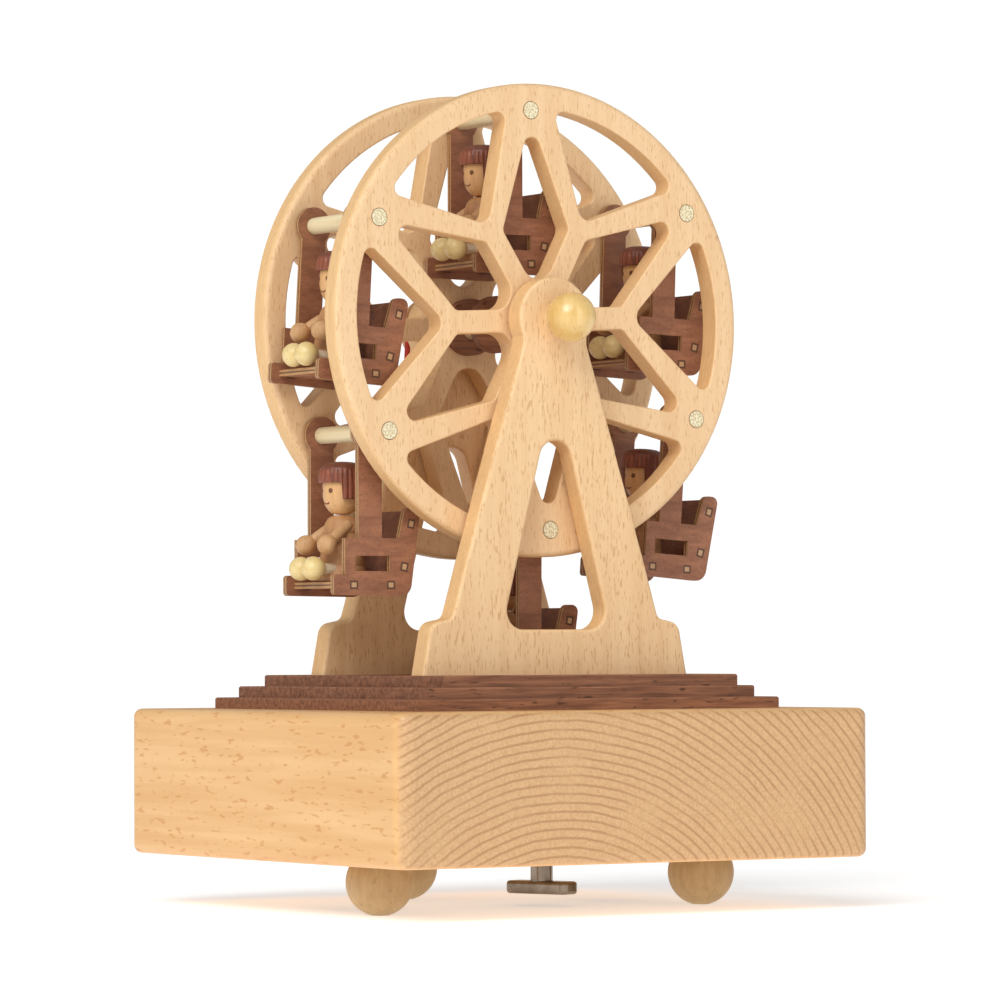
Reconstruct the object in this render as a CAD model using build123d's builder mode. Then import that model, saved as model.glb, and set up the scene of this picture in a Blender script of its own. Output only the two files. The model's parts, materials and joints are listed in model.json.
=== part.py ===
from build123d import *
import os
import math

os.makedirs("parts", exist_ok=True)

# ------------------------------------------------------------------
# Musical ferris wheel on a stepped wooden base. Units mm, +Z up, the wheel's
# axle along Y, the front of the toy towards -Y, the riders facing -X.
# The origin is on the ground under the middle of the base.
# ------------------------------------------------------------------

# --- driving dimensions ---
FOOT_R = 8.0            # ball foot
FOOT_Z = 7.75           # ball centre (a small flat is worn on the bottom)
FOOT_H = 12.3           # base underside above the ground
FEET = [(-45.0, -22.0), (45.0, -22.0), (0.0, 42.0)]

BASE = 130.0            # square base block
BASE_H = 35.2
BASE_R = 4.0            # upright corners
BASE_E = 2.0            # long edges
BASE_TOP = FOOT_H + BASE_H          # 47.5

PLATE_T = 2.7
PLATES = [("step_plate_lower", 100.3, 95.7, 0.0),
          ("step_plate_middle", 91.2, 88.4, 0.0),
          ("step_plate_upper", 81.6, 84.4, 1.3)]
DECK = BASE_TOP + 3 * PLATE_T       # 55.6, top of the upper plate

AXLE_Z = 139.85
AXLE_R = 3.0
WHEEL_R = 56.4
WHEEL_T = 6.0
WHEEL_F = (-21.8, -15.8)            # front wheel, outer and inner face
WHEEL_B = (11.8, 17.8)              # rear wheel, inner and outer face
TURN = 2.91                         # how far the wheel stands turned
DOWEL_CIRCLE = 49.93
DOWEL_R = 2.0

FRAME_T = 6.0
FRAME_F = (-28.55, -22.55)
FRAME_B = (18.45, 24.45)

BELT_Y = 27.3
BELT_R = 0.8
PULLEY_TOP_R = 7.2                  # belt centre line on the axle pulley
PULLEY_LOW_R = 13.0                 # and on the movement's pulley
DRUM_Z = 30.5                       # axis of the pin cylinder and its pulley

WELL = (-35.0, 35.0, -15.6, 14.4)   # opening in the step plates for the gondolas
BELT_SLOT = (-14.4, 14.4, 25.4, 29.2)

G_Y = (-12.9, 11.2)                 # outer faces of a gondola's two side plates
G_T = 1.6                           # ply thickness
KEY = (9.0, -7.0)                   # winding arbor

# gondola positions: angle of the dowel, how far each hangs out of plumb, where
# it stands along its dowel, and how far back its rider sits
GONDOLAS = [(90 + TURN + 60 * k, t, dy, sit) for k, (t, dy, sit) in enumerate(
    ((0.0, 0.0, 0.0), (3.3, -1.1, 2.0), (0.0, 0.0, 0.0), (0.5, 0.0, 0.0), (4.0, 0.0, 0.0), (2.0, 0.0, 1.8)))]


def dowel_xz(ang):
    return (DOWEL_CIRCLE * math.cos(math.radians(ang)),
            AXLE_Z + DOWEL_CIRCLE * math.sin(math.radians(ang)))


def wheel_plane(y):
    # local x = +X, local y = +Z about the axle, sketch normal towards -Y
    return Plane(origin=(0, y, AXLE_Z), x_dir=(1, 0, 0), z_dir=(0, -1, 0))


# ------------------------------------------------------------------
# base block: solid wood, hollowed from below for the movement
# ------------------------------------------------------------------
CAV = (-46.0, 46.0, -40.0, 33.0)        # cavity in plan
COV = (-53.0, 53.0, -47.0, 38.0)        # let-in bottom cover
COV_T = 3.0
CEIL = 41.5                             # cavity ceiling
SOUND_HOLES = [(-36.0, 5.0), (36.0, 5.0)]   # 11 x 24 in the cover

with BuildPart() as base_block:
    with BuildSketch(Plane.XY.offset(FOOT_H)):
        RectangleRounded(BASE, BASE, BASE_R)
    extrude(amount=BASE_H)
    fillet(base_block.faces().sort_by(Axis.Z)[-1].edges(), radius=BASE_E)
    fillet(base_block.faces().sort_by(Axis.Z)[0].edges(), radius=BASE_E)
    with BuildSketch(Plane.XY.offset(FOOT_H)):
        with Locations(((COV[0] + COV[1]) / 2, (COV[2] + COV[3]) / 2)):
            Rectangle(COV[1] - COV[0] + 0.2, COV[3] - COV[2] + 0.2)
    extrude(amount=COV_T, mode=Mode.SUBTRACT)
    with BuildSketch(Plane.XY.offset(FOOT_H + COV_T)):
        with Locations(((CAV[0] + CAV[1]) / 2, (CAV[2] + CAV[3]) / 2)):
            RectangleRounded(CAV[1] - CAV[0], CAV[3] - CAV[2], 5)
    extrude(amount=CEIL - FOOT_H - COV_T, mode=Mode.SUBTRACT)
    # slot for the lower pulley and the belt
    with BuildSketch(Plane.XY.offset(CEIL - 0.5)):
        with Locations((0, BELT_Y)):
            Rectangle(34, 6.0)
    extrude(amount=BASE_TOP - CEIL + 2, mode=Mode.SUBTRACT)
    # sockets for the tenons of the ball feet
    with BuildSketch(Plane.XY.offset(FOOT_H - 1)):
        with Locations(*[f for f in FEET if f[1] > COV[3]]):
            Circle(2.53)
    extrude(amount=9, mode=Mode.SUBTRACT)
    # pilot holes for the cover screws
    with BuildSketch(Plane.XY.offset(FOOT_H)):
        with Locations((-50, -44), (50, -44), (-50, 35), (50, 35)):
            Circle(1.2)
    extrude(amount=COV_T + 7, mode=Mode.SUBTRACT)
    # holes for the pegs under the two frames
    with BuildSketch(Plane.XY.offset(BASE_TOP - 5)):
        with Locations(*[(x, (f[0] + f[1]) / 2) for x in (-26, 26) for f in (FRAME_F, FRAME_B)]):
            Circle(2.02)
    extrude(amount=8, mode=Mode.SUBTRACT)
base_block.part.label = "base_block"
export_step(base_block.part, "parts/base_block.step")

# bottom cover that carries the movement
with BuildPart() as base_cover:
    with BuildSketch(Plane.XY.offset(FOOT_H)):
        with Locations(((COV[0] + COV[1]) / 2, (COV[2] + COV[3]) / 2)):
            Rectangle(COV[1] - COV[0], COV[3] - COV[2])
        with Locations(KEY):
            Circle(3.4, mode=Mode.SUBTRACT)
        with Locations((-50, -44), (50, -44), (-50, 35), (50, 35)):
            Circle(1.45, mode=Mode.SUBTRACT)
        with Locations(*[f for f in FEET if f[1] < COV[3]]):
            Circle(2.53, mode=Mode.SUBTRACT)
        with Locations((-22, -18), (20, 20)):
            Circle(1.02, mode=Mode.SUBTRACT)
        with Locations(*SOUND_HOLES):
            RectangleRounded(11, 24, 2, mode=Mode.SUBTRACT)
    extrude(amount=COV_T)
    with BuildSketch(Plane.XY.offset(FOOT_H)):
        with Locations((-50, -44), (50, -44), (-50, 35), (50, 35)):
            Circle(2.9)
    extrude(amount=1.3, mode=Mode.SUBTRACT)
base_cover.part.label = "base_cover"
export_step(base_cover.part, "parts/base_cover.step")

with BuildPart() as cover_screws:
    with BuildSketch(Plane.XY.offset(FOOT_H + 0.2)):
        with Locations((-50, -44), (50, -44), (-50, 35), (50, 35)):
            Circle(2.75)
    extrude(amount=1.1)
    with BuildSketch(Plane.XY.offset(FOOT_H + 1.3)):
        with Locations((-50, -44), (50, -44), (-50, 35), (50, 35)):
            Circle(1.15)
    extrude(amount=7.5)
    # cross recess
    with BuildSketch(Plane.XY.offset(FOOT_H + 0.2)):
        with Locations((-50, -44), (50, -44), (-50, 35), (50, 35)):
            Rectangle(3.2, 0.6)
            Rectangle(0.6, 3.2)
    extrude(amount=0.7, mode=Mode.SUBTRACT)
cover_screws.part.label = "cover_screws"
export_step(cover_screws.part, "parts/cover_screws.step")

# turned ball feet, each with its tenon
with BuildPart() as ball_feet:
    with Locations(*[(x, y, FOOT_Z) for x, y in FEET]):
        Sphere(FOOT_R)
    with BuildSketch(Plane.XY.offset(FOOT_H)):
        Rectangle(200, 200)
    extrude(amount=20, mode=Mode.SUBTRACT)
    with BuildSketch(Plane.XY.offset(0)):
        Rectangle(200, 200)
    extrude(amount=-5, mode=Mode.SUBTRACT)
    with BuildSketch(Plane.XY.offset(FOOT_H)):
        with Locations(*[f for f in FEET if f[1] > COV[3]]):
            Circle(2.5)
    extrude(amount=7.5)
    with BuildSketch(Plane.XY.offset(FOOT_H)):
        with Locations(*[f for f in FEET if f[1] < COV[3]]):
            Circle(2.5)
    extrude(amount=COV_T)
ball_feet.part.label = "ball_feet"
export_step(ball_feet.part, "parts/ball_feet.step")

# ------------------------------------------------------------------
# three dark step plates with the well for the passing gondolas
# ------------------------------------------------------------------
for i, (nm, lx, ly, ox) in enumerate(PLATES):
    z0 = BASE_TOP + i * PLATE_T
    with BuildPart() as step_plate:
        with BuildSketch(Plane.XY.offset(z0)):
            with Locations((ox, 0)):
                Rectangle(lx, ly)
            with Locations(((WELL[0] + WELL[1]) / 2, (WELL[2] + WELL[3]) / 2)):
                RectangleRounded(WELL[1] - WELL[0], WELL[3] - WELL[2], 2.0, mode=Mode.SUBTRACT)
            with Locations((0, (BELT_SLOT[2] + BELT_SLOT[3]) / 2)):
                Rectangle(BELT_SLOT[1] - BELT_SLOT[0], BELT_SLOT[3] - BELT_SLOT[2], mode=Mode.SUBTRACT)
            with Locations(*[(x, (f[0] + f[1]) / 2) for x in (-26, 26) for f in (FRAME_F, FRAME_B)]):
                Circle(2.02, mode=Mode.SUBTRACT)
        extrude(amount=PLATE_T)
        outer = step_plate.faces().sort_by(Axis.Z)[-1].outer_wire().edges()
        chamfer(outer, length=0.3)
    step_plate.part.label = nm
    export_step(step_plate.part, "parts/" + nm + ".step")

# ------------------------------------------------------------------
# front and rear A-shaped frames
# ------------------------------------------------------------------
for nm, (ya, yb) in (("frame_front", FRAME_F), ("frame_rear", FRAME_B)):
    with BuildPart() as frame:
        with BuildSketch(Plane(origin=(0, yb, 0), x_dir=(1, 0, 0), z_dir=(0, -1, 0))) as fs:
            with BuildLine():
                l1 = Polyline((-8.9, AXLE_Z), (-8.9, DECK + 78.3))
                l2 = ThreePointArc((-8.9, DECK + 78.3), (-20.6, DECK + 41.0), (-28.9, DECK + 13.3))
                l3 = Polyline((-28.9, DECK + 13.3), (-34.7, DECK + 12.2), (-37.0, DECK),
                              (37.0, DECK), (34.7, DECK + 12.2), (28.9, DECK + 13.3))
                l4 = ThreePointArc((28.9, DECK + 13.3), (20.6, DECK + 41.0), (8.9, DECK + 78.3))
                l5 = Polyline((8.9, DECK + 78.3), (8.9, AXLE_Z), (-8.9, AXLE_Z))
            make_face()
            vs = fs.vertices().filter_by(lambda v: abs(abs(v.X) - 34.7) < 0.05)
            fillet(vs, radius=3.2)
            vs = fs.vertices().filter_by(lambda v: abs(abs(v.X) - 28.9) < 0.05)
            fillet(vs, radius=2.2)
            with Locations((0, AXLE_Z)):
                Circle(9.9)
        extrude(amount=FRAME_T)
        # the opening between the legs
        with BuildSketch(Plane(origin=(0, yb, 0), x_dir=(1, 0, 0), z_dir=(0, -1, 0))):
            with Locations((0, DECK + 50.9)):
                Circle(4.4)
            with Locations((-9.1, DECK + 15.2), (9.1, DECK + 15.2)):
                Circle(4.5)
            make_hull()
        extrude(amount=FRAME_T, mode=Mode.SUBTRACT)
        side = frame.faces().filter_by(Axis.Y)
        rim = [e for f in side for e in f.edges() if e.center().Z > DECK + 0.5]
        fillet(rim, radius=0.9)
        # axle hole
        with BuildSketch(wheel_plane(yb + 1)):
            Circle(AXLE_R + 0.06)
        extrude(amount=FRAME_T + 2, mode=Mode.SUBTRACT)
        # peg holes from below
        with BuildSketch(Plane.XY.offset(DECK - 1)):
            with Locations((-26, (ya + yb) / 2), (26, (ya + yb) / 2)):
                Circle(2.02)
        extrude(amount=6.5, mode=Mode.SUBTRACT)
    frame.part.label = nm
    export_step(frame.part, "parts/" + nm + ".step")

with BuildPart() as frame_pegs:
    with BuildSketch(Plane.XY.offset(BASE_TOP - 4.8)):
        with Locations(*[(x, (f[0] + f[1]) / 2) for x in (-26, 26) for f in (FRAME_F, FRAME_B)]):
            Circle(2.0)
    extrude(amount=4.8 + 3 * PLATE_T + 5.2)
frame_pegs.part.label = "frame_pegs"
export_step(frame_pegs.part, "parts/frame_pegs.step")

# ------------------------------------------------------------------
# the two wheels
# ------------------------------------------------------------------
with BuildSketch() as kite:
    with BuildLine():
        Polyline((5.5, 0), (21.47, 9.22), (48.26, 0), (21.47, -9.22), close=True)
    make_face()
    fillet(kite.vertices().filter_by(lambda v: v.X < 6), radius=4.4)
    fillet(kite.vertices().filter_by(lambda v: v.X > 48), radius=2.3)
    fillet(kite.vertices().filter_by(lambda v: 21.4 < v.X < 21.5), radius=2.0)

with BuildSketch() as fan:
    with BuildLine():
        h = 33.7 * math.tan(math.radians(43.5))
        Polyline((26.3, 0), (60, h), (60, -h), close=True)
    make_face()
    Circle(50.4, mode=Mode.INTERSECT)
    fillet(fan.vertices().filter_by(lambda v: v.X < 27), radius=3.0)
    fillet(fan.vertices().filter_by(lambda v: v.X > 40), radius=2.0)

for nm, (ya, yb) in (("wheel_front", WHEEL_F), ("wheel_rear", WHEEL_B)):
    with BuildPart() as wheel:
        with BuildSketch(wheel_plane(yb)):
            Circle(WHEEL_R)
            with PolarLocations(0, 6, start_angle=90 + TURN):
                add(kite.sketch, mode=Mode.SUBTRACT)
            with PolarLocations(0, 6, start_angle=TURN):
                add(fan.sketch, mode=Mode.SUBTRACT)
        extrude(amount=WHEEL_T)
        side = wheel.faces().filter_by(Axis.Y)
        rim = [e for f in side for e in f.outer_wire().edges()]
        fillet(rim, radius=1.5)
        side = wheel.faces().filter_by(Axis.Y)
        inner = [e for f in side for w in f.inner_wires() for e in w.edges()]
        fillet(inner, radius=0.5)
        with BuildSketch(wheel_plane(yb + 1)):
            Circle(AXLE_R + 0.02)
            with PolarLocations(DOWEL_CIRCLE, 6, start_angle=90 + TURN):
                Circle(DOWEL_R + 0.02)
        extrude(amount=WHEEL_T + 2, mode=Mode.SUBTRACT)
    wheel.part.label = nm
    export_step(wheel.part, "parts/" + nm + ".step")

# axle through both frames
AXLE_Y = (-35.0, 29.6)
with BuildPart() as wheel_axle:
    with BuildSketch(wheel_plane(AXLE_Y[1])):
        Circle(AXLE_R)
    extrude(amount=AXLE_Y[1] - AXLE_Y[0])
    chamfer(wheel_axle.edges().sort_by(Axis.Y)[-1], length=0.4)
wheel_axle.part.label = "wheel_axle"
export_step(wheel_axle.part, "parts/wheel_axle.step")

# dark spacer discs on the axle between the wheels
with BuildPart() as hub_discs:
    for ytop in (11.8, -0.4):
        with BuildSketch(wheel_plane(ytop)):
            Circle(6.9)
            Circle(AXLE_R + 0.02, mode=Mode.SUBTRACT)
        extrude(amount=2.6)
hub_discs.part.label = "hub_discs"
export_step(hub_discs.part, "parts/hub_discs.step")

# six dowels that tie the wheels together and carry the gondolas
with BuildPart() as gondola_dowels:
    with BuildSketch(wheel_plane(WHEEL_B[1])):
        with PolarLocations(DOWEL_CIRCLE, 6, start_angle=90 + TURN):
            Circle(DOWEL_R)
    extrude(amount=WHEEL_B[1] - WHEEL_F[0] + 0.1)
gondola_dowels.part.label = "gondola_dowels"
export_step(gondola_dowels.part, "parts/gondola_dowels.step")

# round knob on the front end of the axle
with BuildPart() as front_knob:
    with Locations((0, -35.2, AXLE_Z)):
        Sphere(5.85)
    with BuildSketch(wheel_plane(-29.6)):
        Circle(AXLE_R + 0.02)
    extrude(amount=5.5, mode=Mode.SUBTRACT)
    with BuildSketch(wheel_plane(-29.6)):
        Rectangle(20, 20)
    extrude(amount=-5, mode=Mode.SUBTRACT)
front_knob.part.label = "front_knob"
export_step(front_knob.part, "parts/front_knob.step")

# grooved pulley on the rear end of the axle
with BuildPart() as axle_pulley:
    with BuildSketch(Plane.YZ) as s:
        with BuildLine():
            Polyline((BELT_Y - 2.2, AXLE_Z + AXLE_R + 0.02), (BELT_Y - 2.2, AXLE_Z + 8.3),
                     (BELT_Y - 1.15, AXLE_Z + 8.3), (BELT_Y - 1.0, AXLE_Z + 6.3),
                     (BELT_Y + 1.0, AXLE_Z + 6.3), (BELT_Y + 1.15, AXLE_Z + 8.3),
                     (BELT_Y + 2.2, AXLE_Z + 8.3), (BELT_Y + 2.2, AXLE_Z + AXLE_R + 0.02), close=True)
        make_face()
    revolve(axis=Axis((0, 0, AXLE_Z), (0, 1, 0)), revolution_arc=360)
axle_pulley.part.label = "axle_pulley"
export_step(axle_pulley.part, "parts/axle_pulley.step")

# ------------------------------------------------------------------
# drive belt: red rubber cord from the movement's pulley to the axle
# ------------------------------------------------------------------
beta = math.asin((PULLEY_LOW_R - PULLEY_TOP_R) / (AXLE_Z - DRUM_Z))
cb, sb = math.cos(beta), math.sin(beta)
tu = (PULLEY_TOP_R * cb, AXLE_Z + PULLEY_TOP_R * sb)
tl = (PULLEY_LOW_R * cb, DRUM_Z + PULLEY_LOW_R * sb)
with BuildPart() as drive_belt:
    with BuildLine() as belt_path:
        Line((tl[0], BELT_Y, tl[1]), (tu[0], BELT_Y, tu[1]))
        ThreePointArc((tu[0], BELT_Y, tu[1]), (0, BELT_Y, AXLE_Z + PULLEY_TOP_R), (-tu[0], BELT_Y, tu[1]))
        Line((-tu[0], BELT_Y, tu[1]), (-tl[0], BELT_Y, tl[1]))
        ThreePointArc((-tl[0], BELT_Y, tl[1]), (0, BELT_Y, DRUM_Z - PULLEY_LOW_R), (tl[0], BELT_Y, tl[1]))
    with BuildSketch(Plane(origin=(tl[0], BELT_Y, tl[1]), z_dir=(tu[0] - tl[0], 0, tu[1] - tl[1]))):
        Circle(BELT_R)
    sweep()
drive_belt.part.label = "drive_belt"
export_step(drive_belt.part, "parts/drive_belt.step")

with BuildPart() as drive_pulley:
    with BuildSketch(Plane.YZ):
        with BuildLine():
            Polyline((BELT_Y - 2.2, DRUM_Z + 1.52), (BELT_Y - 2.2, DRUM_Z + 14.0),
                     (BELT_Y - 1.15, DRUM_Z + 14.0), (BELT_Y - 1.0, DRUM_Z + 12.1),
                     (BELT_Y + 1.0, DRUM_Z + 12.1), (BELT_Y + 1.15, DRUM_Z + 14.0),
                     (BELT_Y + 2.2, DRUM_Z + 14.0), (BELT_Y + 2.2, DRUM_Z + 1.52), close=True)
        make_face()
    revolve(axis=Axis((0, 0, DRUM_Z), (0, 1, 0)), revolution_arc=360)
drive_pulley.part.label = "drive_pulley"
export_step(drive_pulley.part, "parts/drive_pulley.step")

# ------------------------------------------------------------------
# the wind-up movement on the cover
# ------------------------------------------------------------------
BED_Z = FOOT_H + COV_T              # 15.3
with BuildPart() as movement_bedplate:
    with BuildSketch(Plane.XY.offset(BED_Z)):
        with Locations((0, 0)):
            RectangleRounded(52, 46, 3)
        with Locations(KEY):
            Circle(2.86, mode=Mode.SUBTRACT)
        with Locations((-22, -18), (20, 20)):
            Circle(1.02, mode=Mode.SUBTRACT)
    extrude(amount=2.0)
    # bearing uprights for the cylinder shaft
    with BuildSketch(Plane.XY.offset(BED_Z + 2.0)):
        with Locations((-2.5, 21.6)):
            Rectangle(9, 1.6)
    extrude(amount=17)
    with BuildSketch(Plane.XY.offset(BED_Z + 2.0)):
        with Locations((-14.0, -3.2)):
            Rectangle(6, 1.6)
    extrude(amount=11)
    with BuildSketch(Plane.XY.offset(26.5)):
        with Locations((-6.5, -3.2)):
            Rectangle(21, 1.6)
    extrude(amount=7.8)
    # comb seat
    with BuildSketch(Plane.XY.offset(BED_Z + 2.0)):
        with Locations((-20.5, 11)):
            Rectangle(7.5, 18)
    extrude(amount=12.4)
    # bearing holes
    with BuildSketch(Plane(origin=(0, 23, DRUM_Z), x_dir=(1, 0, 0), z_dir=(0, -1, 0))):
        Circle(1.56)
    extrude(amount=28, mode=Mode.SUBTRACT)
    # tapped holes for the comb screws
    with BuildSketch(Plane.XY.offset(BED_Z + 6.0)):
        with Locations((-20.5, 6), (-20.5, 16)):
            Circle(1.02)
    extrude(amount=10, mode=Mode.SUBTRACT)
movement_bedplate.part.label = "movement_bedplate"
export_step(movement_bedplate.part, "parts/movement_bedplate.step")

# tuned steel comb, teeth pointing at the cylinder
with BuildPart() as music_comb:
    with BuildSketch(Plane.XY.offset(BED_Z + 14.4)):
        with Locations((-15.55, 11)):
            Rectangle(17.4, 18)
        with GridLocations(0, 1.0, 1, 17):
            with Locations((-11.6, 11)):
                Rectangle(9.6, 0.28, mode=Mode.SUBTRACT)
        with Locations((-20.5, 6), (-20.5, 16)):
            Circle(1.1, mode=Mode.SUBTRACT)
    extrude(amount=1.2)
music_comb.part.label = "music_comb"
export_step(music_comb.part, "parts/music_comb.step")

with BuildPart() as movement_screws:
    with BuildSketch(Plane.XY.offset(BED_Z + 15.6)):
        with Locations((-20.5, 6), (-20.5, 16)):
            Circle(1.9)
    extrude(amount=1.2)
    with BuildSketch(Plane.XY.offset(BED_Z + 7.0)):
        with Locations((-20.5, 6), (-20.5, 16)):
            Circle(1.0)
    extrude(amount=8.6)
    with BuildSketch(Plane.XY.offset(BED_Z + 2.0)):
        with Locations((-22, -18), (20, 20)):
            Circle(1.9)
    extrude(amount=1.2)
    with BuildSketch(Plane.XY.offset(FOOT_H + 0.4)):
        with Locations((-22, -18), (20, 20)):
            Circle(1.0)
    extrude(amount=BED_Z + 2.0 - FOOT_H - 0.4)
movement_screws.part.label = "movement_screws"
export_step(movement_screws.part, "parts/movement_screws.step")

# pinned cylinder with its shaft and the gear that the spring drives
with BuildPart() as pin_cylinder:
    with BuildSketch(Plane(origin=(0, 29.4, DRUM_Z), x_dir=(1, 0, 0), z_dir=(0, -1, 0))):
        Circle(1.5)
    extrude(amount=34.0)
    with BuildSketch(Plane(origin=(0, 20.2, DRUM_Z), x_dir=(1, 0, 0), z_dir=(0, -1, 0))):
        Circle(5.6)
    extrude(amount=18.2)
    with BuildSketch(Plane(origin=(0, 0.9, DRUM_Z), x_dir=(1, 0, 0), z_dir=(0, -1, 0))):
        Circle(5.2)
        with PolarLocations(5.2, 18):
            Rectangle(1.2, 0.8)
    extrude(amount=1.6)
    # rows of raised pins
    for row, (yy, st) in enumerate(((3.5, 10), (5.5, 47), (7.5, 95), (9.5, 20), (11.5, 130), (13.5, 70), (15.5, 5), (17.5, 110))):
        with BuildSketch(Plane(origin=(0, yy + 0.2, DRUM_Z), x_dir=(1, 0, 0), z_dir=(0, -1, 0))):
            with PolarLocations(5.6, 3, start_angle=st + 17 * row):
                Rectangle(0.7, 0.4)
        extrude(amount=0.4)
pin_cylinder.part.label = "pin_cylinder"
export_step(pin_cylinder.part, "parts/pin_cylinder.step")

# spring barrel with its crown of teeth
with BuildPart() as spring_barrel:
    with BuildSketch(Plane.XY.offset(BED_Z + 2.3)):
        with Locations(KEY):
            Circle(9.6)
            Circle(2.56, mode=Mode.SUBTRACT)
    extrude(amount=5.4)
    with BuildSketch(Plane.XY.offset(BED_Z + 7.7)):
        with Locations(KEY):
            Circle(8.6)
            Circle(6.6, mode=Mode.SUBTRACT)
    extrude(amount=0.9)
    with BuildSketch(Plane.XY.offset(BED_Z + 2.3)):
        with Locations(KEY):
            with PolarLocations(9.6, 36):
                Rectangle(0.9, 0.8)
    extrude(amount=1.2)
spring_barrel.part.label = "spring_barrel"
export_step(spring_barrel.part, "parts/spring_barrel.step")

# air-brake governor: worm arbor with a two-bladed fan
GOV = (-15.0, -12.0)
with BuildPart() as governor:
    with BuildSketch(Plane.XY.offset(BED_Z + 2.3)):
        with Locations(GOV):
            Circle(0.9)
    extrude(amount=18)
    with BuildSketch(Plane.XY.offset(BED_Z + 5.0)):
        with Locations(GOV):
            Circle(1.9)
    extrude(amount=5.0)
    with BuildSketch(Plane.XY.offset(BED_Z + 13.0)):
        with Locations(GOV):
            Rectangle(9.0, 1.0)
    extrude(amount=5.5)
governor.part.label = "governor"
export_step(governor.part, "parts/governor.step")

# winding key: flat bar on a round stem that runs up into the barrel
KEY_Z = (2.9, 6.0)
with BuildPart() as winding_key:
    with BuildSketch(Plane(origin=(KEY[0], KEY[1], KEY_Z[0]),
                           x_dir=(math.cos(math.radians(-70)), math.sin(math.radians(-70)), 0), z_dir=(0, 0, 1))):
        RectangleRounded(18.2, 6.2, 1.6)
    extrude(amount=KEY_Z[1] - KEY_Z[0])
    fillet(winding_key.faces().sort_by(Axis.Z)[0].edges(), radius=0.8)
    fillet(winding_key.faces().sort_by(Axis.Z)[-1].edges(), radius=0.8)
    with BuildSketch(Plane.XY.offset(KEY_Z[1] - 0.5)):
        with Locations(KEY):
            Circle(2.7)
    extrude(amount=BED_Z + 2.0 - KEY_Z[1] + 0.5)
    with BuildSketch(Plane.XY.offset(BED_Z + 2.0)):
        with Locations(KEY):
            Circle(2.5)
    extrude(amount=6.2)
winding_key.part.label = "winding_key"
export_step(winding_key.part, "parts/winding_key.step")

# ------------------------------------------------------------------
# one gondola, modelled with its dowel hole at the origin, then hung six times
# ------------------------------------------------------------------
MID_Y = (G_Y[0] + G_Y[1]) / 2
LEAN = 10.65            # the seat back leans backwards
TAB_X = 1.7
FLOOR_Z = (-36.6, -35.1)
FLOOR_TABS = (-4.45, 5.6)
BACK_TABS = (5.1, -5.2)             # along the back board, from its middle
BACK_C = (10.25, -26.45)            # middle of the back board

side_pieces = []
for (yo, yi) in ((G_Y[0], G_Y[0] + G_T), (G_Y[1] - G_T, G_Y[1])):
    with BuildPart() as side_plate:
        with BuildSketch(Plane(origin=(0, yi, 0), x_dir=(1, 0, 0), z_dir=(0, -1, 0))) as ss:
            with BuildLine():
                Polyline((-3.15, 0), (-3.15, -24.9), (-6.8, -24.9), (-6.8, -33.4), (-9.9, -33.4),
                         (-9.9, -38.2), (10.9, -38.5), (13.75, -17.6), (9.6, -17.6), (7.8, -24.9),
                         (3.15, -24.9), (3.15, 0), close=True)
            make_face()
            fillet(ss.vertices().filter_by(lambda v: abs(v.X + 9.9) < 0.01), radius=0.8)
            fillet(ss.vertices().filter_by(lambda v: abs(v.X - 10.9) < 0.01), radius=3.0)
            fillet(ss.vertices().filter_by(lambda v: abs(v.Y + 17.6) < 0.01), radius=1.7)
            Circle(4.5)
            Circle(DOWEL_R + 0.1, mode=Mode.SUBTRACT)
            # window through the side
            with Locations((0.65, -30.8)):
                Rectangle(9.5, 3.6, mode=Mode.SUBTRACT)
            # slots for the tabs of the floor and of the back
            with Locations(*[(x, (FLOOR_Z[0] + FLOOR_Z[1]) / 2) for x in FLOOR_TABS]):
                Rectangle(TAB_X + 0.04, FLOOR_Z[1] - FLOOR_Z[0] + 0.04, mode=Mode.SUBTRACT)
            with Locations(*[(BACK_C[0] + s * math.sin(math.radians(LEAN)), BACK_C[1] + s * math.cos(math.radians(LEAN)))
                             for s in BACK_TABS]):
                Rectangle(1.54, TAB_X + 0.04, rotation=-LEAN, mode=Mode.SUBTRACT)
        extrude(amount=yi - yo)
    side_pieces.append(side_plate.part)

with BuildPart() as boards:
    # floor board with four tabs
    with BuildSketch(Plane.XY.offset(FLOOR_Z[0])):
        with Locations((0.1, MID_Y)):
            Rectangle(15.6, G_Y[1] - G_Y[0] - 2 * G_T)
        with Locations(*[(x, MID_Y) for x in FLOOR_TABS]):
            Rectangle(TAB_X, G_Y[1] - G_Y[0])
    extrude(amount=FLOOR_Z[1] - FLOOR_Z[0])
    # leaning back board with four tabs
    back_plane = Plane(origin=(BACK_C[0] - 0.75 * math.cos(math.radians(LEAN)), MID_Y,
                               BACK_C[1] + 0.75 * math.sin(math.radians(LEAN))),
                       x_dir=(0, 1, 0),
                       z_dir=(math.cos(math.radians(LEAN)), 0, -math.sin(math.radians(LEAN))))
    with BuildSketch(back_plane):
        Rectangle(G_Y[1] - G_Y[0] - 2 * G_T, 16.2)
        with Locations(*[(0, s) for s in BACK_TABS]):
            Rectangle(G_Y[1] - G_Y[0], TAB_X)
    extrude(amount=1.5)

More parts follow.
